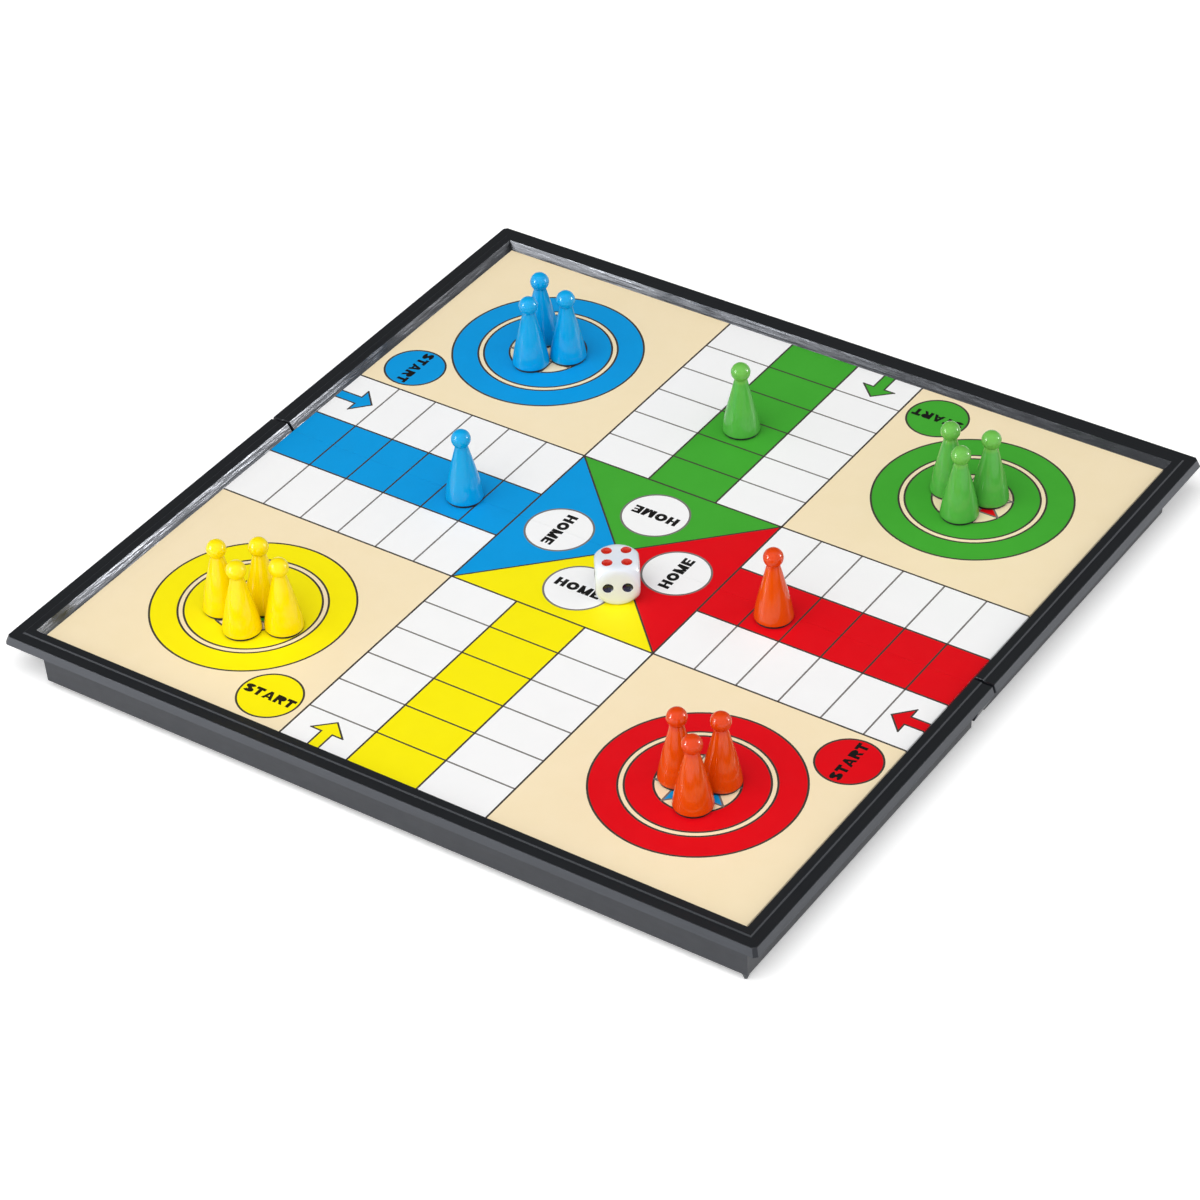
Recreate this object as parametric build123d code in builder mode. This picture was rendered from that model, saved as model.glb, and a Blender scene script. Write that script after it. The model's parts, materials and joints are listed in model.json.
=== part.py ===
"""Folding magnetic ludo board box, lying open with its pawns and die in play.

Two identical trays, one turned half round, are hinged together along their inner walls.
Millimetres. X runs along the fold, Y across it and Z up. The origin is under the middle of the
open board, on the surface that the hinge knuckles and the two corner pegs stand on.
"""
from build123d import *
from math import sqrt
import os

os.makedirs("parts", exist_ok=True)

# Open board
board_side = 250.0  # across the frame's upper outer edges, both ways
tray_depth = 10.5  # frame top down to the rim of the walls
fold_gap = 0.9  # between the two hinge walls when the board lies open
rim_gap = 0.3  # between the two rims when the box is shut

# Tray walls
wall = 1.6
deck = 1.4
long_wall_draft = 0.5
end_wall_draft = 0.3
peg_end_inset = 2.2  # rim of the end wall beside the peg, in from the frame's upper edge
nick_end_inset = 2.8  # rim of the end wall beside the finger nick
nick_along_fold = 14.0  # finger nick cut off the walls' corner, along X
nick_across_fold = 17.0  # and along Y

# Frame round the playing surface
frame_width = 6.0  # flat top, upper outer edge to inner edge
outer_band_width = 3.2
bead_rise = 0.3  # inner band stands this much above the outer band
bead_run = 0.4
slope_run = 1.7  # inner edge slopes down to the print
slope_drop = 2.4
skirt_flare = 0.8  # outer face leans out towards its foot
skirt_drop = 2.56
corner_cut = 1.0
edge_round = 0.25  # frame's upper outer edge
fold_edge_break = 0.15  # frame's edges at the fold
core_web = 1.2  # beside the moulding's cored-out underside of the frame
core_depth = 2.1
skirt_lip = 0.15  # skirt foot that the webs below it leave free
nick_end_web_drop = 3.6  # sloping web between skirt and end wall
fold_web_length = 8.9  # solid web below the skirt beside the fold
fold_web_foot_z = 5.7
fold_web_foot_out = 1.3  # its foot stands out this much from the wall's rim
fold_relief = 8.0  # the end wall starts here; nearer the fold the web's foot slants up

# Corner peg, which enters the other tray's finger nick when the box is shut
peg_inset = 1.4
peg_radius = 1.3
peg_tip_radius = 0.5

# Hinge
knuckle_radius = 2.2
knuckle_length = 11.7
knuckle_side_gap = 0.3
knuckle_clearance = 0.3  # round a knuckle, in the other tray's wall
hinge_group_centre = 82.0  # two groups of four knuckles, left and right of the middle
pin_radius = 1.0
pin_clearance = 0.05  # running fit in the far tray; the near tray grips the pin

# Sheets laid in the frame
steel_thickness = 0.3
print_thickness = 0.2
sheet_clearance = 0.2
print_seam = 0.05

# Pawn and its magnet
pawn_height = 24.3
pawn_base_radius = 5.8
pawn_base_edge = 0.2
pawn_middle_radius = 4.1
pawn_middle_height = 9.9
pawn_neck_radius = 1.85
pawn_head_radius = 2.95
magnet_radius = 5.4
magnet_thickness = 1.2
magnet_proud = 0.8  # the pawn stands on its magnet, clear of the print
magnet_glue_gap = 0.05

# Die
die_side = 13.0
die_ball_radius = 8.7  # ball that rounds off the cube's edges and corners
die_edge_round = 1.0
die_turn = 35.0  # degrees about Z
pip_radius = 1.6
pip_cutter_radius = 2.0
pip_spacing = 2.8

# Where the game stands on the print
ring_inset = 41.6  # each corner ring's centre, in from the print's two edges
blue_lane_inset = 64.3  # the pawns out on a lane, in from the print's edge at its outer end
green_lane_inset = 46.9
orange_lane_inset = 61.4
die_place = (11.4, -16.1)

# Levels, from the surface the board lies on
hinge_axis_z = knuckle_radius
rim_z = hinge_axis_z + rim_gap / 2
frame_top_z = rim_z + tray_depth
band_z = frame_top_z - bead_rise
skirt_foot_z = band_z - skirt_drop
print_top_z = frame_top_z - slope_drop
steel_top_z = print_top_z - print_thickness
deck_top_z = steel_top_z - steel_thickness
cavity_top_z = deck_top_z - deck

# Half widths, from the middle of the open board
fold_face = fold_gap / 2
frame_half = board_side / 2
skirt_half = frame_half + skirt_flare
bead_half = frame_half - outer_band_width
slope_half = frame_half - frame_width
pocket_half = slope_half - slope_run
sheet_half = pocket_half - sheet_clearance
long_rim_half = skirt_half - long_wall_draft
peg_rim_half = frame_half - peg_end_inset
nick_rim_half = frame_half - nick_end_inset
nick_x = -(frame_half - nick_along_fold)
nick_y = -(frame_half - nick_across_fold)

# Pawn centres by colour: on its lane first where one is out, then round its corner ring's centre
ring = sheet_half - ring_inset
pawn_places = {
    "blue": [
        (-(sheet_half - blue_lane_inset), -1.1),
        (-ring - 4.6, ring + 4.7),
        (-ring, ring - 8.3),
        (-ring + 8.0, ring + 0.4),
    ],
    "green": [
        (-0.6, sheet_half - green_lane_inset),
        (ring - 7.4, ring + 0.3),
        (ring + 1.2, ring - 8.8),
        (ring + 5.0, ring + 2.5),
    ],
    "yellow": [
        (-ring - 6.1, -ring - 5.4),
        (-ring + 4.8, -ring - 10.4),
        (-ring + 3.6, -ring + 1.6),
        (-ring + 14.4, -ring - 3.2),
    ],
    "orange": [
        (sheet_half - orange_lane_inset, -2.9),
        (ring - 5.0, -ring - 0.8),
        (ring + 4.5, -ring - 8.2),
        (ring + 6.0, -ring + 3.8),
    ],
}

# Hinge knuckles: each group of four takes turns between the trays
knuckle_pitch = knuckle_length + knuckle_side_gap
near_knuckles = [
    hinge_group_centre - knuckle_pitch / 2,
    hinge_group_centre + knuckle_pitch * 3 / 2,
    -hinge_group_centre - knuckle_pitch / 2,
    -hinge_group_centre + knuckle_pitch * 3 / 2,
]
far_knuckles = [-x for x in near_knuckles]
pin_length = 4 * knuckle_pitch - knuckle_side_gap


def wall_plan(peg_end, nick_end, long_side):
    """Corners of the near tray's walls in plan, with the corner at the finger nick cut off."""
    return [
        (peg_end, -fold_face),
        (peg_end, -long_side),
        (nick_x, -long_side),
        (-nick_end, nick_y),
        (-nick_end, -fold_face),
    ]


def frame_plan(half, cut):
    """Corners of the near tray's frame in plan, with its two outer corners cut off."""
    return [
        (half, -fold_face),
        (half, -half + cut),
        (half - cut, -half),
        (cut - half, -half),
        (-half, -half + cut),
        (-half, -fold_face),
    ]


def inner_plan(half, fold_side=0.0):
    """A rectangle inside the near tray's frame, open to the fold."""
    return [(half, -fold_side), (half, -half), (-half, -half), (-half, -fold_side)]


def along_hinge(x):
    """Plane on the hinge axis at x, facing along the axis."""
    return Plane(origin=(x, 0, hinge_axis_z), z_dir=(1, 0, 0))


def hinge_bore(radius):
    """Cut the pin's bore through both groups of knuckles of the tray being built."""
    with Locations(along_hinge(-hinge_group_centre), along_hinge(hinge_group_centre)):
        Cylinder(radius, pin_length, mode=Mode.SUBTRACT)


# Tray moulding, in the near tray's place
fold_plane = Plane(origin=(0, -fold_face, 0), x_dir=(1, 0, 0), z_dir=(0, -1, 0))
with BuildPart() as moulding:
    # Drafted walls, as a solid block up to the foot of the skirt
    rim_walls = wall_plan(peg_rim_half, nick_rim_half, long_rim_half)
    top_walls = wall_plan(peg_rim_half + end_wall_draft, nick_rim_half + end_wall_draft, skirt_half)
    with BuildSketch(Plane.XY.offset(rim_z)):
        Polygon(*rim_walls, align=None)
    with BuildSketch(Plane.XY.offset(skirt_foot_z)):
        Polygon(*top_walls, align=None)
    loft(ruled=True)

    # Frame: flared skirt with a flat top, and the raised inner band
    with BuildSketch(Plane.XY.offset(skirt_foot_z)):
        Polygon(*frame_plan(skirt_half, corner_cut), align=None)
    with BuildSketch(Plane.XY.offset(band_z)):
        Polygon(*frame_plan(frame_half, corner_cut), align=None)
    loft(ruled=True)
    with BuildSketch(Plane.XY.offset(band_z)):
        Polygon(*inner_plan(bead_half, fold_face), align=None)
    with BuildSketch(Plane.XY.offset(frame_top_z)):
        Polygon(*inner_plan(bead_half - bead_run, fold_face), align=None)
    loft(ruled=True)

    # Pocket for the sheets, and the slope down to it
    with BuildSketch(Plane.XY.offset(deck_top_z)):
        Polygon(*inner_plan(pocket_half), align=None)
    extrude(amount=print_top_z - deck_top_z, mode=Mode.SUBTRACT)
    with BuildSketch(Plane.XY.offset(print_top_z)):
        Polygon(*inner_plan(pocket_half), align=None)
    with BuildSketch(Plane.XY.offset(frame_top_z)):
        Polygon(*inner_plan(slope_half), align=None)
    loft(ruled=True, mode=Mode.SUBTRACT)

    # Hollow that holds the pawns when the box is shut, and the cored-out frame above it
    with BuildSketch(Plane.XY.offset(rim_z)):
        Polygon(*rim_walls, align=None)
        offset(amount=-wall, kind=Kind.INTERSECTION)
    extrude(amount=cavity_top_z - rim_z, mode=Mode.SUBTRACT)
    with BuildSketch(Plane.XY.offset(cavity_top_z)):
        Polygon(*rim_walls, align=None)
        offset(amount=-wall, kind=Kind.INTERSECTION)
        Polygon(*inner_plan(pocket_half + core_web), align=None, mode=Mode.SUBTRACT)
    extrude(amount=core_depth, mode=Mode.SUBTRACT)

    # Sloping webs under the skirt: all along the nick end, and beside the fold at the peg end
    nick_web_root = nick_rim_half - wall / 2
    with BuildSketch(fold_plane):
        Polygon(
            (skirt_lip - skirt_half, skirt_foot_z),
            (-nick_web_root, skirt_foot_z),
            (-nick_web_root, skirt_foot_z - nick_end_web_drop),
            align=None,
        )
    extrude(amount=-nick_y - fold_face)
    web_root = peg_rim_half - wall / 2
    with BuildSketch(fold_plane):
        Polygon(
            (skirt_half - skirt_lip, skirt_foot_z),
            (peg_rim_half + fold_web_foot_out, fold_web_foot_z),
            (web_root, fold_web_foot_z),
            (web_root, skirt_foot_z),
            align=None,
        )
    extrude(amount=fold_web_length - fold_face)

    # Relief that takes the peg end's wall and the web's foot away beside the fold
    relief_plane = Plane(origin=(peg_rim_half - wall, 0, 0), x_dir=(0, 1, 0), z_dir=(1, 0, 0))
    with BuildSketch(relief_plane):
        Polygon(
            (0, rim_z),
            (-fold_relief, rim_z),
            (-fold_relief, fold_web_foot_z),
            (0, skirt_foot_z - skirt_lip),
            align=None,
        )
    extrude(amount=skirt_half - peg_rim_half + wall, mode=Mode.SUBTRACT)

    # Corner peg with its post up the inside of the corner
    peg_place = (peg_rim_half - peg_inset, peg_inset - long_rim_half)
    with BuildSketch(Plane(origin=(*peg_place, 0))):
        Circle(peg_tip_radius)
    with BuildSketch(Plane(origin=(*peg_place, rim_z))):
        Circle(peg_radius)
    loft()
    with BuildSketch(Plane(origin=(*peg_place, rim_z))):
        Circle(peg_radius)
    extrude(amount=cavity_top_z - rim_z)

    # Notches for the other tray's knuckles, then this tray's own knuckles
    with Locations(*(along_hinge(x) for x in far_knuckles)):
        Cylinder(
            knuckle_radius + knuckle_clearance,
            knuckle_length + 2 * knuckle_side_gap,
            mode=Mode.SUBTRACT,
        )
    with Locations(*(along_hinge(x) for x in near_knuckles)):
        Cylinder(knuckle_radius, knuckle_length)

    # Broken edges where the frame meets the fold, then its rounded upper outer edges
    fold_edges = moulding.edges().filter_by(
        lambda e: all(abs(v.Y + fold_face) < 1e-4 for v in e.vertices())
        and e.center().Z > print_top_z
        and abs(e.center().X) > pocket_half
    )
    chamfer(fold_edges, fold_edge_break)
    band_middle = frame_half - outer_band_width / 2
    outer_edges = moulding.edges().filter_by(
        lambda e: abs(e.center().Z - band_z) < 1e-4
        and max(abs(e.center().X), abs(e.center().Y)) > band_middle + edge_round
    )
    fillet(outer_edges, edge_round)

with BuildPart() as near_tray:
    add(moulding.part)
    hinge_bore(pin_radius)
near_tray.part.label = "near_tray"
export_step(near_tray.part, "parts/near_tray.step")

with BuildPart() as far_tray:
    add(moulding.part.rotate(Axis.Z, 180))
    hinge_bore(pin_radius + pin_clearance)
far_tray.part.label = "far_tray"
export_step(far_tray.part, "parts/far_tray.step")

# Hinge pins, one through each group of knuckles
for side, x in (("left", -hinge_group_centre), ("right", hinge_group_centre)):
    with BuildPart() as hinge_pin:
        with Locations(along_hinge(x)):
            Cylinder(pin_radius, pin_length)
    hinge_pin.part.label = f"hinge_pin_{side}"
    export_step(hinge_pin.part, f"parts/hinge_pin_{side}.step")

# Steel sheet that the magnets hold on to, and the printed sheet over it
with BuildPart() as near_steel_sheet:
    with BuildSketch(Plane.XY.offset(deck_top_z)):
        Polygon(*inner_plan(sheet_half, fold_face), align=None)
    extrude(amount=steel_thickness)
near_steel_sheet.part.label = "near_steel_sheet"
export_step(near_steel_sheet.part, "parts/near_steel_sheet.step")

with BuildPart() as far_steel_sheet:
    add(near_steel_sheet.part.rotate(Axis.Z, 180))
far_steel_sheet.part.label = "far_steel_sheet"
export_step(far_steel_sheet.part, "parts/far_steel_sheet.step")

with BuildPart() as near_print_sheet:
    with BuildSketch(Plane.XY.offset(steel_top_z)):
        Polygon(*inner_plan(sheet_half, print_seam / 2), align=None)
    extrude(amount=print_thickness)
near_print_sheet.part.label = "near_print_sheet"
export_step(near_print_sheet.part, "parts/near_print_sheet.step")

with BuildPart() as far_print_sheet:
    add(near_print_sheet.part.rotate(Axis.Z, 180))
far_print_sheet.part.label = "far_print_sheet"
export_step(far_print_sheet.part, "parts/far_print_sheet.step")

# Pawns, each with a disc magnet glued up inside its base
head_centre = pawn_height - pawn_head_radius
neck_height = head_centre - sqrt(pawn_head_radius**2 - pawn_neck_radius**2)
pocket_depth = magnet_thickness - magnet_proud
for colour, places in pawn_places.items():
    for number, (x, y) in enumerate(places, start=1):
        stand = Plane(origin=(x, y, print_top_z))
        upright = Plane(origin=(x, y, print_top_z), x_dir=(1, 0, 0), z_dir=(0, -1, 0))
        foot = magnet_proud
        with BuildPart() as pawn:
            with BuildSketch(upright):
                with BuildLine():
                    Line((0, foot), (pawn_base_radius - pawn_base_edge, foot))
                    RadiusArc(
                        (pawn_base_radius - pawn_base_edge, foot),
                        (pawn_base_radius, foot + pawn_base_edge),
                        -pawn_base_edge,
                    )
                    Spline(
                        (pawn_base_radius, foot + pawn_base_edge),
                        (pawn_middle_radius, pawn_middle_height),
                        (pawn_neck_radius, neck_height),
                        tangents=((-0.13, 1), (-0.24, 1)),
                    )
                    ThreePointArc(
                        (pawn_neck_radius, neck_height),
                        (pawn_head_radius, head_centre),
                        (0, pawn_height),
                    )
                    Line((0, pawn_height), (0, foot))
                make_face()
            revolve(axis=Axis((x, y, 0), (0, 0, 1)))
            with BuildSketch(stand.offset(foot)):
                Circle(magnet_radius + magnet_glue_gap)
            extrude(amount=pocket_depth, mode=Mode.SUBTRACT)
        pawn.part.label = f"{colour}_pawn_{number}"
        export_step(pawn.part, f"parts/{colour}_pawn_{number}.step")

        with BuildPart() as magnet:
            with BuildSketch(stand):
                Circle(magnet_radius)
            extrude(amount=magnet_thickness)
        magnet.part.label = f"{colour}_magnet_{number}"
        export_step(magnet.part, f"parts/{colour}_magnet_{number}.step")

# Die: a cube rounded off by a ball, with a dished pip for each spot; d is the spots' distance
# off the middle
d = pip_spacing
spots = {
    1: [(0, 0)],
    2: [(-d, 0), (d, 0)],
    3: [(-d, -d), (0, 0), (d, d)],
    4: [(-d, -d), (-d, d), (d, -d), (d, d)],
    5: [(-d, -d), (-d, d), (0, 0), (d, -d), (d, d)],
    6: [(-d, -d), (-d, 0), (-d, d), (d, -d), (d, 0), (d, d)],
}
die_stand = Plane(origin=(*die_place, print_top_z + die_side / 2)).rotated((0, 0, die_turn))
side, front, top = die_stand.x_dir, -die_stand.y_dir, die_stand.z_dir
faces_up = {
    1: (side, front),
    2: (front, side),
    3: (-top, side),
    4: (top, side),
    5: (-front, side),
    6: (-side, front),
}
cutter_lift = sqrt(pip_cutter_radius**2 - pip_radius**2)
with BuildPart() as die:
    with Locations(die_stand):
        Box(die_side, die_side, die_side)
        Sphere(die_ball_radius, mode=Mode.INTERSECT)
    fillet(die.edges(), die_edge_round)
    for count, (outward, across) in faces_up.items():
        lifted = die_stand.origin + outward * (die_side / 2 + cutter_lift)
        with Locations(Plane(origin=lifted, x_dir=across, z_dir=outward)):
            with Locations(*spots[count]):
                Sphere(pip_cutter_radius, mode=Mode.SUBTRACT)
die.part.label = "die"
export_step(die.part, "parts/die.step")
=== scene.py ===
"""Looks of a folding magnetic ludo board box, lying open with its pawns and die in play.

The scene is in metres in the part's own frame: X along the fold, Y across it, Z up. Sizes are
written in millimetres, and MM turns them into metres.
"""
import bmesh
import bpy
import json
from math import asin, atan2, cos, degrees, pi, radians, sin, sqrt
from mathutils import Matrix, Vector
from mathutils.geometry import convex_hull_2d, delaunay_2d_cdt

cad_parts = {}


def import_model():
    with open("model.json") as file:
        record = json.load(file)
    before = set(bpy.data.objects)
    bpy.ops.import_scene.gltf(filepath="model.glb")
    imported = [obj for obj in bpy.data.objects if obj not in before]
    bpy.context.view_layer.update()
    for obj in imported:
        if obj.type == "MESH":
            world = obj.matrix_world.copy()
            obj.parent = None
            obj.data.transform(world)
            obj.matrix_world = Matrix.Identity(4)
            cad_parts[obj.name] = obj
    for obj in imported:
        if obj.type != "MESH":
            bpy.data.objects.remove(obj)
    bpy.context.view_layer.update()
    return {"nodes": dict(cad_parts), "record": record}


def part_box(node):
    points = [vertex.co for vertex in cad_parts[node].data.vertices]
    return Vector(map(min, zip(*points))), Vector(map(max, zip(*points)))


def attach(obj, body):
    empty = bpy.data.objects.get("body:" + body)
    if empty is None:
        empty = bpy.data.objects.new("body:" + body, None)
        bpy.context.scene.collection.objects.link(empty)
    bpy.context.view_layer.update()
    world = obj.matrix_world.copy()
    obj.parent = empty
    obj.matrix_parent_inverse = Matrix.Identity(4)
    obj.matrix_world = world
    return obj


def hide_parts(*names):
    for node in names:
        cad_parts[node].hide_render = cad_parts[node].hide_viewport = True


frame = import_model()

MM = 0.001
scene = bpy.context.scene

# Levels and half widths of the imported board
sheet_low, sheet_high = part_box("near_print_sheet")
frame_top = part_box("near_tray")[1].z
card_bottom = sheet_low.z
print_top = sheet_high.z
sheet_half = sheet_high.x
seam_half = -sheet_high.y


# ---------------------------------------------------------------- nodes and materials

def add(tree, kind, inputs=None, **settings):
    """Add one node with its settings, then set or link its inputs, given by name or number."""
    made = tree.nodes.new(kind)
    for key, value in settings.items():
        setattr(made, key, value)
    for key, value in (inputs or {}).items():
        socket = made.inputs[key]
        if isinstance(value, bpy.types.NodeSocket):
            tree.links.new(value, socket)
        else:
            socket.default_value = value
    return made


def srgb(code):
    """A colour written as sRGB hex, as the linear colour that Blender works in."""
    parts = [int(code[i:i + 2], 16) / 255 for i in (1, 3, 5)]
    linear = [p / 12.92 if p <= 0.04045 else ((p + 0.055) / 1.055) ** 2.4 for p in parts]
    return (*linear, 1.0)


def new_material(name):
    """An empty material with its tree, its Principled shader and its Object coordinates."""
    made = bpy.data.materials.new(name)
    made.use_nodes = True
    tree = made.node_tree
    place = add(tree, "ShaderNodeTexCoord").outputs["Object"]
    return made, tree, tree.nodes["Principled BSDF"], place


def patches(place, grain):
    """Noise settings that give patches about as large as grain, in metres."""
    return {"Vector": place, "Scale": 1 / grain, "Detail": NOISE_DETAIL}


def mottled(tree, place, light, dark, grain):
    """A colour that wanders between two near tones."""
    blotches = add(tree, "ShaderNodeTexNoise", patches(place, grain)).outputs["Fac"]
    tones = {0: blotches, 6: srgb(light), 7: srgb(dark)}
    return add(tree, "ShaderNodeMix", tones, data_type="RGBA").outputs[2]


def varied(tree, place, grain, low, high):
    """A number that wanders between low and high, for roughness."""
    blotches = add(tree, "ShaderNodeTexNoise", patches(place, grain)).outputs["Fac"]
    spread = {0: blotches, 1: NOISE_SPAN[0], 2: NOISE_SPAN[1], 3: low, 4: high}
    return add(tree, "ShaderNodeMapRange", spread).outputs[0]


def rippled(tree, place, grain, depth):
    """A normal from fine relief: its grain and depth are in metres."""
    height = add(tree, "ShaderNodeTexNoise", patches(place, grain)).outputs["Fac"]
    return add(tree, "ShaderNodeBump", {"Height": height, "Distance": depth}).outputs["Normal"]


def dress(shader, tree, colour, roughness, normal=None, **plain):
    """Link the colour, roughness and normal to a shader, and set its plain sockets."""
    tree.links.new(colour, shader.inputs["Base Color"])
    tree.links.new(roughness, shader.inputs["Roughness"])
    if normal:
        tree.links.new(normal, shader.inputs["Normal"])
    for key, value in plain.items():
        shader.inputs[key.replace("_", " ").title().replace("Ior", "IOR")].default_value = value


def moulded_abs():
    """Injection-moulded black ABS: level faces satin, slopes polished and a little hollow, the
    step beside the inner band dull, and upright faces and the leaning skirt with a spark texture in
    their roughness. Upright faces are painted a darker, bluish shade, and the skirt a paler painted
    sheen."""
    made, tree, shader, place = new_material("moulded_black_abs")
    axes = add(tree, "ShaderNodeSeparateXYZ", {0: place}).outputs
    x, y = (
        add(tree, "ShaderNodeMath", {0: axes[i]}, operation="ABSOLUTE").outputs[0] for i in (0, 1)
    )
    outward, sideways = (
        add(tree, "ShaderNodeMath", {0: x, 1: y}, operation=kind).outputs[0]
        for kind in ("MAXIMUM", "MINIMUM")
    )
    stretched = {0: sideways, 1: POLISH_STRETCH}
    along = add(tree, "ShaderNodeMath", stretched, operation="MULTIPLY").outputs[0]
    lined = add(tree, "ShaderNodeCombineXYZ", {0: outward, 1: along, 2: axes[2]}).outputs[0]

    facing = add(tree, "ShaderNodeTexCoord").outputs["Normal"]
    rise = add(tree, "ShaderNodeSeparateXYZ", {0: facing}).outputs["Z"]
    level = add(tree, "ShaderNodeMath", {0: rise}, operation="ABSOLUTE").outputs[0]
    sloping, step, leaning = (
        add(tree, "ShaderNodeMath", {0: level, 1: lie, 2: spread}, operation="COMPARE").outputs[0]
        for lie, spread in (SLOPE_FACES, STEP_FACES, SKIRT_FACES)
    )
    steep = {0: level, 1: TEXTURED_AND_SHADED_BELOW}
    textured_and_shaded = add(tree, "ShaderNodeMath", steep, operation="LESS_THAN").outputs[0]

    colour = mottled(tree, place, "#1B1D20", "#16181A", 18 * MM)
    # Painted shade: upright faces, undersides among them, take a darker, bluish tone than level
    # faces; their real spark texture shows in the roughness
    painted_shade_wall_tone = mottled(tree, lined, "#181B21", "#08090D", TEXTURE_GRAIN)
    # Painted sheen: the leaning skirt is painted a shade paler than the walls below it, for the
    # light it catches
    painted_sheen_skirt_tone = mottled(tree, lined, "#33363B", "#222427", TEXTURE_GRAIN)
    for where, tone in ((textured_and_shaded, painted_shade_wall_tone), (leaning, painted_sheen_skirt_tone)):
        tones = {0: where, 6: colour, 7: tone}
        colour = add(tree, "ShaderNodeMix", tones, data_type="RGBA").outputs[2]

    roughness = varied(tree, place, 9 * MM, 0.32, 0.40)
    rough = varied(tree, place, 6 * MM, 0.40, 0.48)
    drawn = varied(tree, lined, 0.6 * MM, 0.14, 0.28)
    for where, finish in ((textured_and_shaded, rough), (step, STEP_ROUGHNESS), (sloping, drawn)):
        finishes = {0: where, 2: roughness, 3: finish}
        roughness = add(tree, "ShaderNodeMix", finishes).outputs[0]

    # Spark texture is about 0.05 mm; it is drawn at 0.4 mm so that it shows
    sparks = add(tree, "ShaderNodeTexNoise", patches(place, 0.4 * MM)).outputs["Fac"]
    spark = add(tree, "ShaderNodeBump", {"Height": sparks, "Distance": 0.012 * MM})
    # Polishing leaves shallow waves that run along the frame, on a slope that shrank hollow
    waves = add(tree, "ShaderNodeTexNoise", patches(lined, 0.9 * MM)).outputs["Fac"]
    relief = {"Height": waves, "Normal": spark.outputs[0], "Strength": sloping}
    wave = add(tree, "ShaderNodeBump", {**relief, "Distance": 0.14 * MM})
    off_middle = {0: outward, 1: SLOPE_MIDDLE * MM}
    shift = add(tree, "ShaderNodeMath", off_middle, operation="SUBTRACT").outputs[0]
    scaled = {0: shift, 1: SLOPE_HALF * MM}
    across = add(tree, "ShaderNodeMath", scaled, operation="DIVIDE").outputs[0]
    bowl = add(tree, "ShaderNodeMath", {0: across, 1: across}, operation="MULTIPLY").outputs[0]
    relief = {"Height": bowl, "Normal": wave.outputs[0], "Strength": sloping}
    hollow = add(tree, "ShaderNodeBump", {**relief, "Distance": 0.05 * MM})
    dress(shader, tree, colour, roughness, hollow.outputs[0], ior=1.54)
    shader.inputs["Specular Tint"].default_value = srgb("#F1F5FF")
    return made


def rolled_steel(name, light, dark, low, high):
    """Bright rolled or drawn steel: its lines run along the fold."""
    made, tree, shader, place = new_material(name)
    # Real lines are microns apart; they are drawn 0.5 mm apart so that they show
    along = add(tree, "ShaderNodeMapping", {"Vector": place, "Scale": (0.04, 1.0, 1.0)})
    lined = along.outputs[0]
    colour = mottled(tree, lined, light, dark, 0.5 * MM)
    dress(shader, tree, colour, varied(tree, lined, 0.5 * MM, low, high), metallic=1.0)
    return made


def offset_ink(name, light, dark):
    """Offset ink under a thin satin film: flat even colour and a faint broad sheen."""
    made, tree, shader, place = new_material(name)
    colour = mottled(tree, place, light, dark, 7 * MM)
    roughness = varied(tree, place, 4 * MM, 0.42, 0.50)
    # The film follows the card's fibres, drawn 0.5 mm apart
    normal = rippled(tree, place, 0.5 * MM, 0.002 * MM)
    dress(shader, tree, colour, roughness, normal, ior=1.33)
    return made


def polystyrene(name, shaded_tone, lit_tone, body=0.6, head=0.6):
    """Polished moulded polystyrene: hard gloss over a colour blended from the plastic's shaded tone
    and its lit tone, at one share for the body and another for a pawn's head. Where the head's share
    differs from the body's, the head is painted lighter or darker: painted light."""
    made, tree, shader, place = new_material(name)
    height = add(tree, "ShaderNodeSeparateXYZ", {0: place}).outputs["Z"]
    neck_low, neck_high = (print_top + rise * MM for rise in NECK_RISE)
    above = {0: height, 1: neck_low, 2: neck_high, 3: 0.0, 4: 1.0}
    painted_head_light = add(tree, "ShaderNodeMapRange", above).outputs[0]
    shares = {0: painted_head_light, 2: body, 3: head}
    tones = {
        0: add(tree, "ShaderNodeMix", shares).outputs[0],
        6: mottled(tree, place, *shaded_tone, 3 * MM),
        7: mottled(tree, place, *lit_tone, 3 * MM),
    }
    colour = add(tree, "ShaderNodeMix", tones, data_type="RGBA").outputs[2]
    roughness = varied(tree, place, 2 * MM, 0.07, 0.13)
    # A mould polished by hand leaves ripples about 1.5 mm apart
    normal = rippled(tree, place, 1.5 * MM, 0.004 * MM)
    dress(shader, tree, colour, roughness, normal, ior=1.42)
    shader.inputs["Subsurface Weight"].default_value = 0.1
    shader.inputs["Subsurface Radius"].default_value = (1.0, 0.7, 0.5)
    shader.inputs["Subsurface Scale"].default_value = 1.0 * MM
    return made


def sintered_ferrite():
    """Sintered ferrite: charcoal, dull and grainy."""
    made, tree, shader, place = new_material("sintered_ferrite")
    colour = mottled(tree, place, "#1B1C1E", "#131416", 0.5 * MM)
    normal = rippled(tree, place, 0.2 * MM, 0.01 * MM)
    dress(shader, tree, colour, varied(tree, place, 0.8 * MM, 0.5, 0.62), normal)
    return made


def pip_enamel(name, light, dark):
    """Enamel wiped into a dished spot: glossy and a little uneven."""
    made, tree, shader, place = new_material(name)
    colour = mottled(tree, place, light, dark, 1.0 * MM)
    dress(shader, tree, colour, varied(tree, place, 1.0 * MM, 0.2, 0.32), ior=1.5)
    return made


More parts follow.
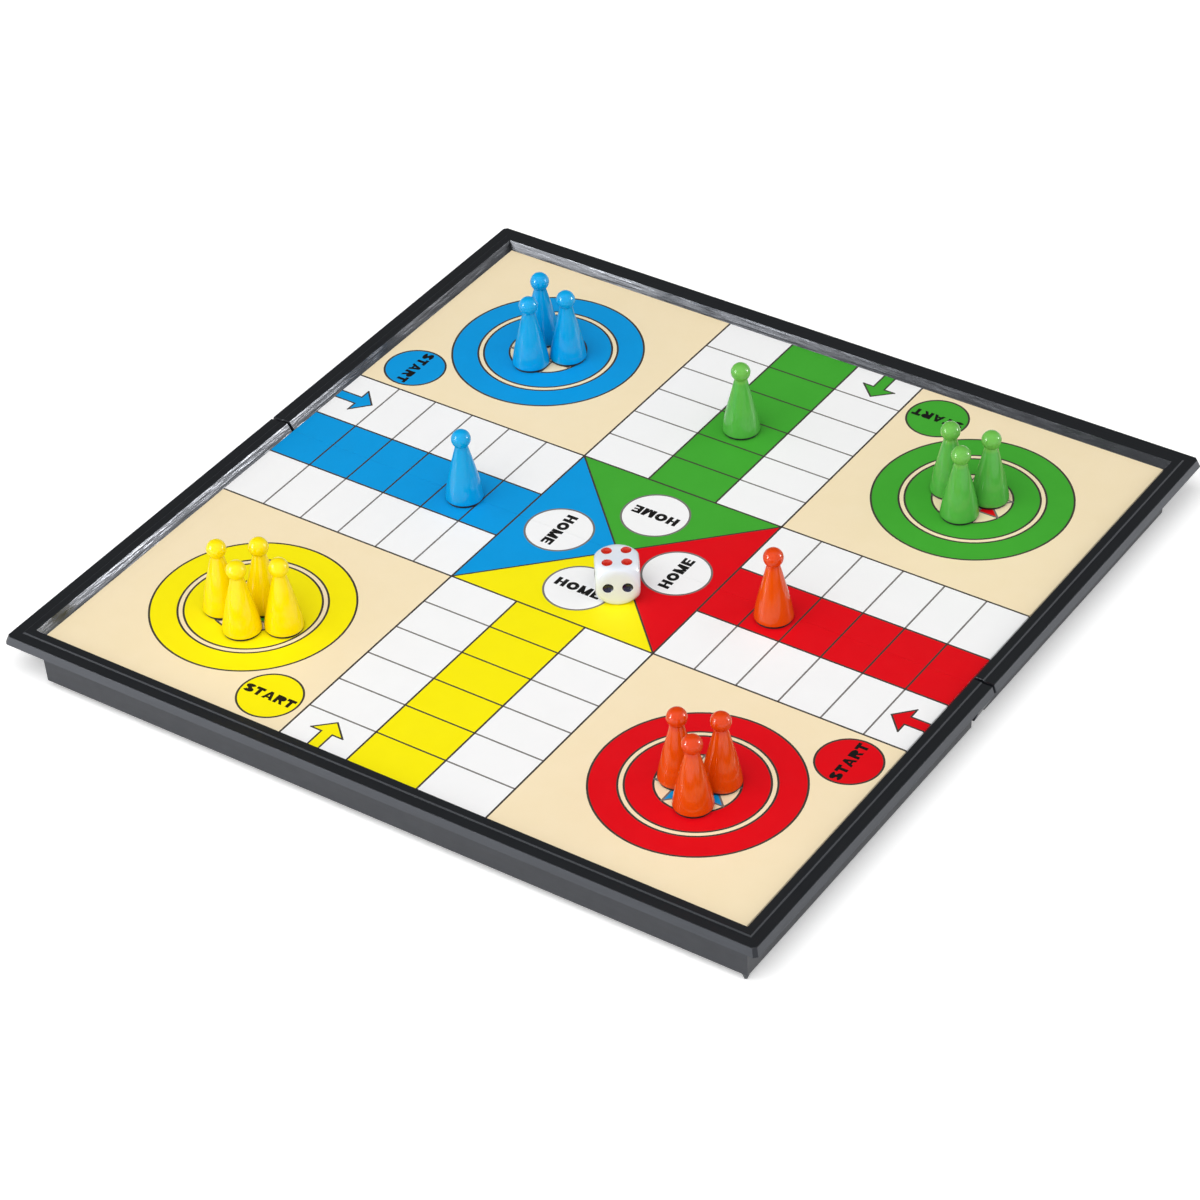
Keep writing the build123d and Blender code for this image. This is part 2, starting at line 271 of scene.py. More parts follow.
NOISE_DETAIL = 2.0
NOISE_SPAN = (0.3, 0.7)  # nearly all of a noise lies between these values
TEXTURE_GRAIN = 1.4 * MM
POLISH_STRETCH = 0.08  # a polishing mark's width as a share of its length
SLOPE_MIDDLE = sheet_half / MM + 1.05  # the frame's inner slope, out from the board's middle
SLOPE_HALF = 0.85
# How level the trays' faces lie, from 0 upright to 1 flat: the value of each kind and its spread
SLOPE_FACES = (0.63, 0.12)
STEP_FACES = (0.83, 0.08)
SKIRT_FACES = (0.30, 0.10)
TEXTURED_AND_SHADED_BELOW = 0.48
STEP_ROUGHNESS = 0.60
NECK_RISE = (17.6, 18.6)  # the head's painted lighter or darker tone takes over between these heights above the print

BLACK_ABS = moulded_abs()
TIN_PLATE = rolled_steel("rolled_tin_plate", "#B9BBBD", "#A3A6A9", 0.26, 0.38)
STEEL_WIRE = rolled_steel("drawn_steel_wire", "#C4C5C7", "#AEB0B3", 0.20, 0.32)
FERRITE = sintered_ferrite()
CARD = offset_ink("coated_card", "#FBFBFB", "#F6F6F5")
INKS = {
    "white": offset_ink("ink_white", "#FCFCFC", "#F8F8F8"),
    "beige": offset_ink("ink_beige", "#FBE9C5", "#F8E5BD"),
    "yellow": offset_ink("ink_yellow", "#FFF100", "#FBEC00"),
    "red": offset_ink("ink_red", "#E60012", "#DE0011"),
    "green": offset_ink("ink_green", "#45AD34", "#3FA62E"),
    "blue": offset_ink("ink_blue", "#009DE5", "#0097DC"),
    "grey": offset_ink("ink_grey", "#7C7875", "#726E6B"),
    "dark": offset_ink("ink_dark", "#46403A", "#3D3732"),
    "black": offset_ink("ink_black", "#161412", "#100F0E"),
}
# Painted light on the heads: green heads take the lit tone whole, orange heads a darker share than
# their bodies; blue and yellow heads match their bodies
PAWN_PLASTICS = {
    "blue": polystyrene("polystyrene_blue", ("#009CE2", "#0096DA"), ("#00ABE6", "#00A5E0")),
    "green": polystyrene(
        "polystyrene_green", ("#00A63A", "#009F36"), ("#70BE50", "#67B548"), head=1.0
    ),
    "yellow": polystyrene("polystyrene_yellow", ("#FFF200", "#FFEC00"), ("#FFDC00", "#FCD400")),
    "orange": polystyrene(
        "polystyrene_orange", ("#DC2A09", "#D42506"), ("#E86A00", "#E26000"), 0.5, 0.3
    ),
}
# The die's white is an even blend of its shaded bluish-grey tone and its lit tone
DIE_PLASTIC = polystyrene("polystyrene_white", ("#C2D0E2", "#BDCBDD"), ("#F6F8FB", "#F2F5F9"), 0.6)
PIP_RED = pip_enamel("pip_enamel_red", "#D02812", "#C0200D")
PIP_NAVY = pip_enamel("pip_enamel_navy", "#0D1140", "#070A28")


# ---------------------------------------------------------------- making meshes

def new_mesh(name, corners, faces, material, smooth_angle=None):
    """A mesh in metres with one material, smooth across edges that turn less than the angle."""
    mesh = bpy.data.meshes.new(name)
    mesh.from_pydata([tuple(c) for c in corners], [], faces)
    mesh.materials.append(material)
    if smooth_angle is not None:
        mesh.shade_smooth()
        mesh.set_sharp_from_angle(angle=radians(smooth_angle))
    return mesh


def as_object(name, mesh):
    """A named object at the origin that holds this mesh."""
    piece = bpy.data.objects.new(name, mesh)
    scene.collection.objects.link(piece)
    return piece


def baked_mesh(piece, name):
    """The evaluated mesh of an object, with its modifiers applied; the object is then removed."""
    bpy.context.view_layer.update()
    shaped = piece.evaluated_get(bpy.context.evaluated_depsgraph_get())
    mesh = bpy.data.meshes.new_from_object(shaped)
    mesh.name = name
    bpy.data.objects.remove(piece)
    return mesh


def lathe(outline, steps, centre):
    """Corners and faces of a closed turned form: outline is (radius, height) from axis to axis."""
    corners, rings, faces = [], [], []
    for radius, height in outline:
        count = 1 if radius == 0 else steps
        rings.append(list(range(len(corners), len(corners) + count)))
        for i in range(count):
            turn = 2 * pi * i / steps
            corners.append(centre + Vector((radius * cos(turn), radius * sin(turn), height)))
    for low, high in zip(rings, rings[1:]):
        for i in range(steps):
            j = (i + 1) % steps
            quad = [low[i % len(low)], low[j % len(low)], high[j % len(high)], high[i % len(high)]]
            faces.append(list(dict.fromkeys(quad)))
    return corners, faces


def repeat_tree():
    """A geometry tree that puts a pattern piece on each point, turned by its turn attribute."""
    tree = bpy.data.node_groups.new("repeat_on_points", "GeometryNodeTree")
    for label, kind in (
        ("Points", "NodeSocketGeometry"),
        ("Pattern", "NodeSocketObject"),
        ("Size", "NodeSocketFloat"),
        ("Material", "NodeSocketMaterial"),
    ):
        tree.interface.new_socket(label, in_out="INPUT", socket_type=kind)
    tree.interface.new_socket("Geometry", in_out="OUTPUT", socket_type="NodeSocketGeometry")
    given = tree.nodes.new("NodeGroupInput").outputs
    pattern = add(tree, "GeometryNodeObjectInfo", {"Object": given["Pattern"]})
    turn = add(tree, "GeometryNodeInputNamedAttribute", {"Name": "turn"}, data_type="FLOAT_VECTOR")
    rotation = add(tree, "FunctionNodeEulerToRotation", {0: turn.outputs["Attribute"]})
    copies = add(
        tree,
        "GeometryNodeInstanceOnPoints",
        {
            "Points": given["Points"],
            "Instance": pattern.outputs["Geometry"],
            "Rotation": rotation.outputs[0],
            "Scale": given["Size"],
        },
    )
    real = add(tree, "GeometryNodeRealizeInstances", {"Geometry": copies.outputs[0]})
    dressed = add(
        tree,
        "GeometryNodeSetMaterial",
        {"Geometry": real.outputs[0], "Material": given["Material"]},
    )
    add(tree, "NodeGroupOutput", {"Geometry": dressed.outputs[0]})
    return tree


REPEAT = repeat_tree()


def repeated(name, pattern, places, turns, material, size=1.0):
    """Copies of a pattern mesh at places, turned by Euler angles, as one plain mesh."""
    seed_mesh = bpy.data.meshes.new(name + "_points")
    seed_mesh.from_pydata([tuple(p) for p in places], [], [])
    turn = seed_mesh.attributes.new("turn", "FLOAT_VECTOR", "POINT")
    for item, angles in zip(turn.data, turns):
        item.vector = angles
    seed = as_object(name + "_points", seed_mesh)
    stamp = as_object(name + "_pattern", pattern)
    modifier = seed.modifiers.new("Repeat", "NODES")
    modifier.node_group = REPEAT
    sockets = {
        item.name: item.identifier
        for item in REPEAT.interface.items_tree
        if item.item_type == "SOCKET" and item.in_out == "INPUT"
    }
    modifier[sockets["Pattern"]] = stamp
    modifier[sockets["Size"]] = size
    modifier[sockets["Material"]] = material
    mesh = baked_mesh(seed, name)
    bpy.data.objects.remove(stamp)
    return mesh


# ---------------------------------------------------------------- the printed sheets, in mm

TRIM_HALF = sheet_half / MM + 0.15  # the sheet is pressed close to the frame all round
ART_HALF = TRIM_HALF + 2.0  # the print's bleed, which its trimming cuts off
ART_SHIFT = Vector((0.63, 0.10))  # the print is trimmed this much off centre
HOME_HALF = 34.65
LANE_HALF = 11.75
ROWS = 6
ROW = 13.69  # length of a cell along its arm
RING_CENTRE = sheet_half / MM - 41.6
RING_RADII = (29.9, 21.75, 20.0, 12.0)  # colour, beige, colour, beige, from outside in
STAR_RADIUS = 11.9
START_PLACE = (-46.5, -105.7)
START_RADIUS = 9.5
START_WORD = (16.8, 3.5)  # width and height of the letters
HOME_PLACE = (0.0, -20.4)
HOME_RADIUS = 10.2
HOME_WORD = (15.2, 3.6)
ARROW_X = -(HOME_HALF + LANE_HALF) / 2
ARROW_TIP = -105.4
ARROW_HEAD = 5.1
ARROW_HALF = 5.4
ARROW_STEM = 1.85
LETTER_WEIGHT = 0.30  # stroke of a letter, as a share of its height
LETTER_GAP = 0.10
STROKE = 0.62
THIN_STROKE = 0.56
INK_DEPTH = 0.05
CIRCLE_STEPS = 120


def disc(x, y, radius):
    """Corners of a round spot."""
    steps = [2 * pi * i / CIRCLE_STEPS for i in range(CIRCLE_STEPS)]
    return [(x + radius * cos(a), y + radius * sin(a)) for a in steps]


def block(x0, y0, x1, y1):
    """Corners of an upright rectangle."""
    return [(x0, y0), (x1, y0), (x1, y1), (x0, y1)]


def strip(start, end, width):
    """A straight stroke from start to end, with square ends that stand out by half its width."""
    start, end = Vector(start), Vector(end)
    along = (end - start).normalized() * width / 2
    across = Vector((-along.y, along.x))
    return [
        tuple(start - along - across),
        tuple(end + along - across),
        tuple(end + along + across),
        tuple(start - along + across),
    ]


def ringed_disc(x, y, radius, fill, line="dark"):
    """A filled disc inside its outline."""
    return [(line, disc(x, y, radius + STROKE / 2)), (fill, disc(x, y, radius - STROKE / 2))]


def star(x, y, fill):
    """An eight-pointed star drawn in eight straight lines, with every other tip filled."""
    def at(radius, angle):
        turn = radians(angle)
        return (x + radius * cos(turn), y + radius * sin(turn))

    # Where the lines of the star cross, as shares of its radius
    outer_cross = sin(radians(22.5)) / cos(radians(45))
    inner_cross = sin(radians(22.5)) / cos(radians(22.5))
    shapes = []
    for k in range(4):
        tip = 67.5 + 90 * k
        kite = [
            at(STAR_RADIUS, tip),
            at(STAR_RADIUS * outer_cross, tip + 22.5),
            at(STAR_RADIUS * inner_cross, tip),
            at(STAR_RADIUS * outer_cross, tip - 22.5),
        ]
        shapes.append((fill, kite))
    for k in range(8):
        tip = 22.5 + 45 * k
        line = strip(at(STAR_RADIUS, tip), at(STAR_RADIUS, tip + 135), THIN_STROKE)
        shapes.append(("grey", line))
    return shapes


def upright(polygon):
    """The same polygon with its corners running to the left."""
    area = sum(x0 * y1 - x1 * y0 for (x0, y0), (x1, y1) in zip(polygon, polygon[1:] + polygon[:1]))
    return polygon if area > 0 else polygon[::-1]


def ribbon(path, width):
    """A bent stroke of even width as quads that meet on its mitred corners."""
    points = [Vector(p) for p in path]
    ways = [(b - a).normalized() for a, b in zip(points, points[1:])]
    sides = []
    for i, point in enumerate(points):
        before, after = ways[max(i - 1, 0)], ways[min(i, len(ways) - 1)]
        mean = (before + after).normalized()
        across = Vector((-mean.y, mean.x)) * width / 2 / mean.dot(after)
        sides.append((point - across, point + across))
    # On the inside of a tight bend the quad's sides cross, so its hull is taken
    quads = [(*a, *b) for a, b in zip(sides, sides[1:])]
    return [[tuple(quad[i]) for i in convex_hull_2d(quad)] for quad in quads]


def ring_path(centre, radii, start, end, count):
    """Points on part of an ellipse, both ends included."""
    turns = [radians(start + (end - start) * i / count) for i in range(count + 1)]
    return [(centre[0] + radii[0] * cos(a), centre[1] + radii[1] * sin(a)) for a in turns]


def letter_shapes(weight):
    """Bold capitals one unit high: for each its width and its polygons."""
    half = weight / 2
    low, high = half, 1 - half
    bowl = ring_path((0.50, 0.70), (0.24, 0.30 - half), 90, -90, 10)
    upper_s = ring_path((0.38, 0.725), (0.27, 0.275 - half), 15, 262, 12)
    lower_s = ring_path((0.38, 0.285), (0.285, 0.285 - half), 82, -165, 12)
    return {
        "S": (0.76, ribbon(upper_s + lower_s, weight)),
        "T": (
            0.80,
            [block(0, 1 - weight, 0.80, 1), block(0.40 - half, 0, 0.40 + half, 1)],
        ),
        "A": (
            0.94,
            [
                [(0, 0), (0.26, 0), (0.60, 1), (0.34, 1)],
                [(0.68, 0), (0.94, 0), (0.60, 1), (0.34, 1)],
                block(0.18, 0.18, 0.76, 0.37),
            ],
        ),
        "R": (
            0.86,
            [
                block(0, 0, weight, 1),
                *ribbon([(half, high), *bowl, (half, 0.40 + half)], weight),
                [(0.34, 0.45), (0.62, 0.45), (0.88, 0), (0.60, 0)],
            ],
        ),
        "H": (
            0.82,
            [block(0, 0, weight, 1), block(0.82 - weight, 0, 0.82, 1), block(0, 0.41, 0.82, 0.60)],
        ),
        "O": (0.92, ribbon(ring_path((0.46, 0.5), (0.46 - half, 0.5 - half), 0, 360, 28), weight)),
        "M": (
            0.96,
            [
                block(0, 0, weight, 1),
                block(0.96 - weight, 0, 0.96, 1),
                [(0, 1), (0.27, 1), (0.59, 0), (0.37, 0)],
                [(0.69, 1), (0.96, 1), (0.59, 0), (0.37, 0)],
            ],
        ),
        "E": (
            0.70,
            [
                block(0, 0, weight, 1),
                block(0, 0, 0.70, low * 1.7),
                block(0, 0.41, 0.65, 0.59),
                block(0, 1 - low * 1.7, 0.70, 1),
            ],
        ),
    }


def word_shapes(word, centre, size):
    """A bold word as polygons round its centre, fitted to the given width and height."""
    letters = letter_shapes(LETTER_WEIGHT)
    total = sum(letters[c][0] for c in word) + LETTER_GAP * (len(word) - 1)
    shapes = []
    start = 0.0
    for character in word:
        width, polygons = letters[character]
        for polygon in polygons:
            fitted = [
                (centre[0] + size[0] * ((start + x) / total - 0.5), centre[1] + size[1] * (y - 0.5))
                for x, y in polygon
            ]
            shapes.append(upright(fitted))
        start += width + LETTER_GAP
    return shapes


def quarter_fills(ink, star_ink):
    """Coloured shapes of the quarter whose arm runs along -Y, back to front."""
    x = y = -RING_CENTRE
    outer, band, inner, core = RING_RADII
    head = ARROW_TIP - ARROW_HEAD
    arrow = [
        (ARROW_X, ARROW_TIP),
        (ARROW_X - ARROW_HALF, head),
        (ARROW_X - ARROW_STEM, head),
        (ARROW_X - ARROW_STEM, -ART_HALF),
        (ARROW_X + ARROW_STEM, -ART_HALF),
        (ARROW_X + ARROW_STEM, head),
        (ARROW_X + ARROW_HALF, head),
    ]
    edges = [strip(a, b, THIN_STROKE) for a, b in zip(arrow, arrow[1:] + arrow[:1])]
    del edges[3]  # the stem runs off the print
    return [
        ("beige", block(-ART_HALF, -ART_HALF, -HOME_HALF, -HOME_HALF)),
        *ringed_disc(x, y, outer, ink),
        *ringed_disc(x, y, band, "beige"),
        *ringed_disc(x, y, inner, ink),
        *ringed_disc(x, y, core, "beige"),
        *star(x, y, star_ink),
        *ringed_disc(*START_PLACE, START_RADIUS, ink),
        (ink, block(-LANE_HALF, -ART_HALF, LANE_HALF, -HOME_HALF)),
        (ink, [(-HOME_HALF, -HOME_HALF), (HOME_HALF, -HOME_HALF), (0, 0)]),
        *ringed_disc(*HOME_PLACE, HOME_RADIUS, "white", "grey"),
        (ink, arrow),
        *(("dark", edge) for edge in edges),
    ]


def quarter_lines():
    """Strokes between the cells of the arm along -Y, and its side of the home square."""
    lines = []
    for row in range(1, ROWS):
        y = -HOME_HALF - row * ROW
        for x in (-HOME_HALF, LANE_HALF):
            width = HOME_HALF - LANE_HALF
            lines.append(("grey", strip((x, y), (x + width, y), THIN_STROKE)))
        lines.append(("dark", strip((-LANE_HALF, y), (LANE_HALF, y), THIN_STROKE)))
    for x in (-HOME_HALF, -LANE_HALF, LANE_HALF, HOME_HALF):
        lines.append(("dark", strip((x, -ART_HALF), (x, -HOME_HALF), STROKE)))
    lines.append(("dark", strip((-HOME_HALF, -HOME_HALF), (HOME_HALF, -HOME_HALF), STROKE)))
    lines.append(("dark", strip((-HOME_HALF, -HOME_HALF), (0, 0), THIN_STROKE)))
    return lines


def turned(points, quarter):
    """Points turned about the middle by whole quarter turns."""
    for _ in range(quarter):
        points = [(-y, x) for x, y in points]
    return points


def board_shapes():
    """Every printed shape as (ink, corners), back to front."""
    words = [
        *word_shapes("START", START_PLACE, START_WORD),
        *word_shapes("HOME", HOME_PLACE, HOME_WORD),
    ]
    # Each quarter's ink and that of its star, turning left from -Y
    inks = (("yellow", "green"), ("red", "blue"), ("green", "red"), ("blue", "yellow"))
    shapes = [("white", block(-ART_HALF, -ART_HALF, ART_HALF, ART_HALF))]
    for quarter, (ink, star_ink) in enumerate(inks):
        shapes += [(i, turned(s, quarter)) for i, s in quarter_fills(ink, star_ink)]
    for quarter in range(4):
        shapes += [(i, turned(s, quarter)) for i, s in quarter_lines()]
        shapes += [("black", turned(s, quarter)) for s in words]
    shapes = [(ink, [tuple(Vector(p) + ART_SHIFT) for p in shape]) for ink, shape in shapes]
    # The gap between the two sheets and the trimmed bleed belong to no ink
    seam, waste = seam_half / MM, ART_HALF + 1
    shapes.append((None, block(-waste, -seam, waste, seam)))
    for quarter in range(4):
        shapes.append((None, turned(block(-waste, -waste, waste, -TRIM_HALF), quarter)))
    return shapes


def cut_apart(shapes):
    """Corners, and for each ink the triangles where its shape is the frontmost."""
    corners, faces = [], []
    for _, outline in shapes:
        faces.append(list(range(len(corners), len(corners) + len(outline))))
        corners += [Vector(p) for p in outline]
    inside = 1  # keep the triangles inside the outlines
    points, _, triangles, _, _, owners = delaunay_2d_cdt(corners, [], faces, inside, 1e-5, True)
    by_ink = {}
    for triangle, owned in zip(triangles, owners):
        if owned:
            by_ink.setdefault(shapes[max(owned)][0], []).append(triangle)
    return points, by_ink


def plate(name, points, triangles, top, depth, material):
    """A thin closed plate: triangles seen from above, the same below, and a wall round them."""
    used = sorted({i for triangle in triangles for i in triangle})
    index = {old: new for new, old in enumerate(used)}
    flat = [points[i] * MM for i in used]
    corners = [(p.x, p.y, top) for p in flat] + [(p.x, p.y, top - depth) for p in flat]
    upper = [[index[i] for i in triangle] for triangle in triangles]
    below = len(used)
    faces = upper + [[i + below for i in reversed(triangle)] for triangle in upper]
    edges = {(t[i], t[(i + 1) % 3]) for t in upper for i in range(3)}
    faces += [[a, a + below, b + below, b] for a, b in edges if (b, a) not in edges]
    return as_object(name, new_mesh(name, corners, faces, material))


def printed_sheets():
    """The two printed sheets: a card under plates of ink, one for each colour."""
    points, by_ink = cut_apart(board_shapes())
    by_ink.pop(None, None)
    for side, body, sign in (("near", "near_half", -1), ("far", "far_half", 1)):
        pieces = []
        seam, edge = sorted((sign * seam_half / MM, sign * TRIM_HALF))
        outline = [Vector(p) for p in block(-TRIM_HALF, seam, TRIM_HALF, edge)]
        card_depth = print_top - INK_DEPTH * MM - card_bottom
        card = plate(
            f"{side}_print_card",
            outline,
            [(0, 1, 2), (0, 2, 3)],
            print_top - INK_DEPTH * MM,
            card_depth,
            CARD,
        )
        pieces.append(card)
        for ink, triangles in by_ink.items():
            mine = [t for t in triangles if sign * sum(points[i].y for i in t) > 0]
            if mine:
                name = f"{side}_print_{ink}"
                pieces.append(plate(name, points, mine, print_top, INK_DEPTH * MM, INKS[ink]))
        for piece in pieces:
            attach(piece, body)
        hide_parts(f"{side}_print_sheet")


# ---------------------------------------------------------------- pawns

PAWN_EDGE = 0.2
PAWN_NECK = 1.85
PAWN_HEAD = 2.95
PAWN_BASE_LEAN = -0.13  # how fast the radius falls with height, at the base and at the neck
PAWN_NECK_LEAN = -0.24
PAWN_STEPS = 64
MAGNET_GLUE_GAP = 0.05


def eased(start, start_way, end, end_way, count):
    """Points on a smooth curve from start to end, leaving and arriving along the given ways."""
    points = []
    for i in range(1, count + 1):
        t = i / count
        rise = (2 * t**3 - 3 * t**2 + 1, t**3 - 2 * t**2 + t, 3 * t**2 - 2 * t**3, t**3 - t**2)
        points.append(
            tuple(
                rise[0] * start[k] + rise[1] * start_way[k] + rise[2] * end[k] + rise[3] * end_way[k]
                for k in (0, 1)
            )
        )
    return points


def arc(centre, radius, start, end, count):
    """Points on an arc between two angles in degrees, without its first."""
    turns = [radians(start + (end - start) * i / count) for i in range(1, count + 1)]
    return [(centre[0] + radius * cos(a), centre[1] + radius * sin(a)) for a in turns]


def pawn_outline(foot, height, base, pocket_radius, pocket_roof):
    """Half a pawn from the roof of its magnet pocket, round its base, up to its crown, in mm."""
    head = height - PAWN_HEAD
    neck = (PAWN_NECK, head - sqrt(PAWN_HEAD**2 - PAWN_NECK**2))
    start = (base, foot + PAWN_EDGE)
    rise = neck[1] - start[1]
    return [
        (0, pocket_roof),
        (pocket_radius, pocket_roof),
        (pocket_radius, foot),
        (base - PAWN_EDGE, foot),
        *arc((base - PAWN_EDGE, foot + PAWN_EDGE), PAWN_EDGE, -90, 0, 6),
        *eased(start, (PAWN_BASE_LEAN * rise, rise), neck, (PAWN_NECK_LEAN * rise, rise), 20),
        *arc((0, head), PAWN_HEAD, degrees(atan2(neck[1] - head, PAWN_NECK)), 88, 20),
        (0, height),
    ]


def pawns():
    """Each pawn as one smooth turned form round its magnet."""
    for colour, plastic in PAWN_PLASTICS.items():
        for number in range(1, 5):
            name = f"{colour}_pawn_{number}"
            low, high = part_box(name)
            magnet_low, magnet_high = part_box(f"{colour}_magnet_{number}")
            outline = pawn_outline(
                (low.z - magnet_low.z) / MM,
                (high.z - magnet_low.z) / MM,
                (high.x - low.x) / 2 / MM,
                (magnet_high.x - magnet_low.x) / 2 / MM + MAGNET_GLUE_GAP,
                (magnet_high.z - magnet_low.z) / MM,
            )
            metres = [(r * MM, h * MM) for r, h in outline]
            centre = Vector(((low.x + high.x) / 2, (low.y + high.y) / 2, magnet_low.z))
            corners, faces = lathe(metres, PAWN_STEPS, centre)
            body = as_object(f"{name}_body", new_mesh(name, corners, faces, plastic, 40))
            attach(body, name)
            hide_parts(name)


# ---------------------------------------------------------------- die

DIE_BALL = 8.7  # ball that rounds off the cube's edges and corners
DIE_BLEND = 0.9
DIE_GRID = 56
DIE_TURN = 35.0
PIP_RADIUS = 1.6
PIP_CUTTER = 2.0
PIP_SPACING = 2.8
PIP_FILM = 0.04  # half the enamel's thickness
PIP_SHORT = 1.5  # the enamel stops this many degrees short of the spot's edge
SPOTS = {
    1: [(0, 0)],
    2: [(-1, 0), (1, 0)],
    3: [(-1, -1), (0, 0), (1, 1)],
    4: [(-1, -1), (-1, 1), (1, -1), (1, 1)],
    5: [(-1, -1), (-1, 1), (0, 0), (1, -1), (1, 1)],
    6: [(-1, -1), (-1, 0), (-1, 1), (1, -1), (1, 0), (1, 1)],
}
# For each count: the way its face looks and the way its spots' first axis runs, on the unturned die
DIE_FACES = {
    1: ((1, 0, 0), (0, -1, 0)),
    2: ((0, -1, 0), (1, 0, 0)),
    3: ((0, 0, -1), (1, 0, 0)),
    4: ((0, 0, 1), (1, 0, 0)),
    5: ((0, 1, 0), (1, 0, 0)),
    6: ((-1, 0, 0), (0, -1, 0)),
}


def die_pips(middle, half):
    """For each spot of the die: its count, its place on the face, and its turn."""
    stand = Matrix.Rotation(radians(DIE_TURN), 3, "Z")
    pips = []
    for count, (outward, across) in DIE_FACES.items():
        z = stand @ Vector(outward)
        x = stand @ Vector(across)
        y = z.cross(x)
        turn = Matrix((x, y, z)).transposed()
        for u, v in SPOTS[count]:
            place = middle + z * half + (x * u + y * v) * PIP_SPACING * MM
            pips.append((count, place, turn.to_euler()))
    return pips


def pip_film(material):
    """A thin dished shell of enamel, with its rim on the face and its bowl in the spot."""
    lift = sqrt(PIP_CUTTER**2 - PIP_RADIUS**2)
    edge = -90 + degrees(asin(PIP_RADIUS / PIP_CUTTER)) - PIP_SHORT
    inner = arc((0, lift), PIP_CUTTER - PIP_FILM, -90, edge, 8)
    outer = arc((0, lift), PIP_CUTTER + PIP_FILM, -90, edge, 8)
    outline = [
        (0, lift - PIP_CUTTER - PIP_FILM),
        *outer,
        *reversed(inner),
        (0, lift - PIP_CUTTER + PIP_FILM),
    ]
    corners, faces = lathe([(r * MM, h * MM) for r, h in outline], 32, Vector((0, 0, 0)))
    return new_mesh("pip_film", corners, faces, material, 40)


def blended(first, second, blend):
    """The smaller of two lengths, eased over the stretch where they are nearly equal."""
    near = max(blend - abs(first - second), 0) / blend
    return min(first, second) - near * near * blend / 4


def rounded_cube(middle, half):
    """A cube rounded off by a ball, as a closed mesh of quads on its six faces."""
    cube = bmesh.new()
    bmesh.ops.create_cube(cube, size=2)
    bmesh.ops.subdivide_edges(cube, edges=cube.edges, cuts=DIE_GRID - 1, use_grid_fill=True)
    for corner in cube.verts:
        way = corner.co.normalized()
        face = half / max(abs(c) for c in way)
        corner.co = way * blended(face, DIE_BALL * MM, DIE_BLEND * MM)
    turn = Matrix.Rotation(radians(DIE_TURN), 4, "Z")
    bmesh.ops.transform(cube, matrix=Matrix.Translation(middle) @ turn, verts=cube.verts)
    mesh = bpy.data.meshes.new("die_body")
    cube.to_mesh(mesh)
    cube.free()
    mesh.materials.append(DIE_PLASTIC)
    return mesh


def die():
    """The die: a cube rounded off by a ball, with dished spots and enamel in each spot."""
    low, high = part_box("die")
    middle = (low + high) / 2
    half = (high.z - low.z) / 2
    body = as_object("die_uncut", rounded_cube(middle, half))

    pips = die_pips(middle, half)
    lift = sqrt(PIP_CUTTER**2 - PIP_RADIUS**2) * MM
    cutter = bmesh.new()
    for _, place, turn in pips:
        outward = turn.to_matrix() @ Vector((0, 0, lift))
        shift = Matrix.Translation(place + outward) @ turn.to_matrix().to_4x4()
        bmesh.ops.create_uvsphere(
            cutter, u_segments=40, v_segments=24, radius=PIP_CUTTER * MM, matrix=shift
        )
    cutter_mesh = bpy.data.meshes.new("pip_cutters")
    cutter.to_mesh(cutter_mesh)
    cutter.free()
    cutters = as_object("pip_cutters", cutter_mesh)
    cut = body.modifiers.new("Spots", "BOOLEAN")
    cut.object = cutters
    cut.operation = "DIFFERENCE"
    cut.solver = "MANIFOLD"
    done = baked_mesh(body, "die_body")
    bpy.data.objects.remove(cutters)
    done.shade_smooth()
    done.set_sharp_from_angle(angle=radians(30))
    piece = as_object("die_body", done)
    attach(piece, "die")
    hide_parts("die")

    for name, counts, enamel in (
        ("die_pips_red", (1, 4), PIP_RED),
        ("die_pips_navy", (2, 3, 5, 6), PIP_NAVY),
    ):
        mine = [(place, turn) for count, place, turn in pips if count in counts]
        mesh = repeated(name, pip_film(enamel), [p for p, _ in mine], [t for _, t in mine], enamel)
        film = as_object(name, mesh)
        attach(film, "die")


# ---------------------------------------------------------------- the box

def box_finishes():
    """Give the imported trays, sheets, pins and magnets their real materials."""
    finishes = {
        "black_abs": BLACK_ABS,
        "tin_plate": TIN_PLATE,
        "hinge_pin_steel": STEEL_WIRE,
        # Partly painted shade: the ferrite magnet is real, but its wide disc standing proud under
        # each pawn's foot also stands in for the dark contact shade there
        "magnet": FERRITE,
    }
    for part in frame["record"]["subparts"]:
        finish = finishes.get(part["material_slot"])
        if finish:
            for slot in frame["nodes"][part["node"]].material_slots:
                slot.material = finish


# Marks that the mould's ejector pins leave on the hollow side of each deck, in mm
DECK_THICKNESS = 1.4
PIN_RADIUS = 2.5
PIN_COLUMNS = (-92.0, -46.0, 0.0, 46.0, 92.0)
PIN_ROWS = (-22.0, -60.0, -98.0)


def ejector_marks():
    """Round marks a hair proud of the deck, over the hollow of each tray."""
    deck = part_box("near_steel_sheet")[0].z - DECK_THICKNESS * MM
    outline = [(0, -0.05), (PIN_RADIUS - 0.1, -0.05), (PIN_RADIUS, 0.02), (0, 0.02)]
    for side, sign in (("near", 1), ("far", -1)):
        places = [(sign * x * MM, sign * y * MM, deck) for x in PIN_COLUMNS for y in PIN_ROWS]
        corners, faces = lathe([(r * MM, h * MM) for r, h in outline], 40, Vector((0, 0, 0)))
        mark = new_mesh(f"{side}_ejector_mark", corners, faces, BLACK_ABS, 40)
        name = f"{side}_ejector_marks"
        level = [(0.0, 0.0, 0.0)] * len(places)
        marks = as_object(name, repeated(name, mark, places, level, BLACK_ABS))
        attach(marks, f"{side}_half")


# ---------------------------------------------------------------- studio

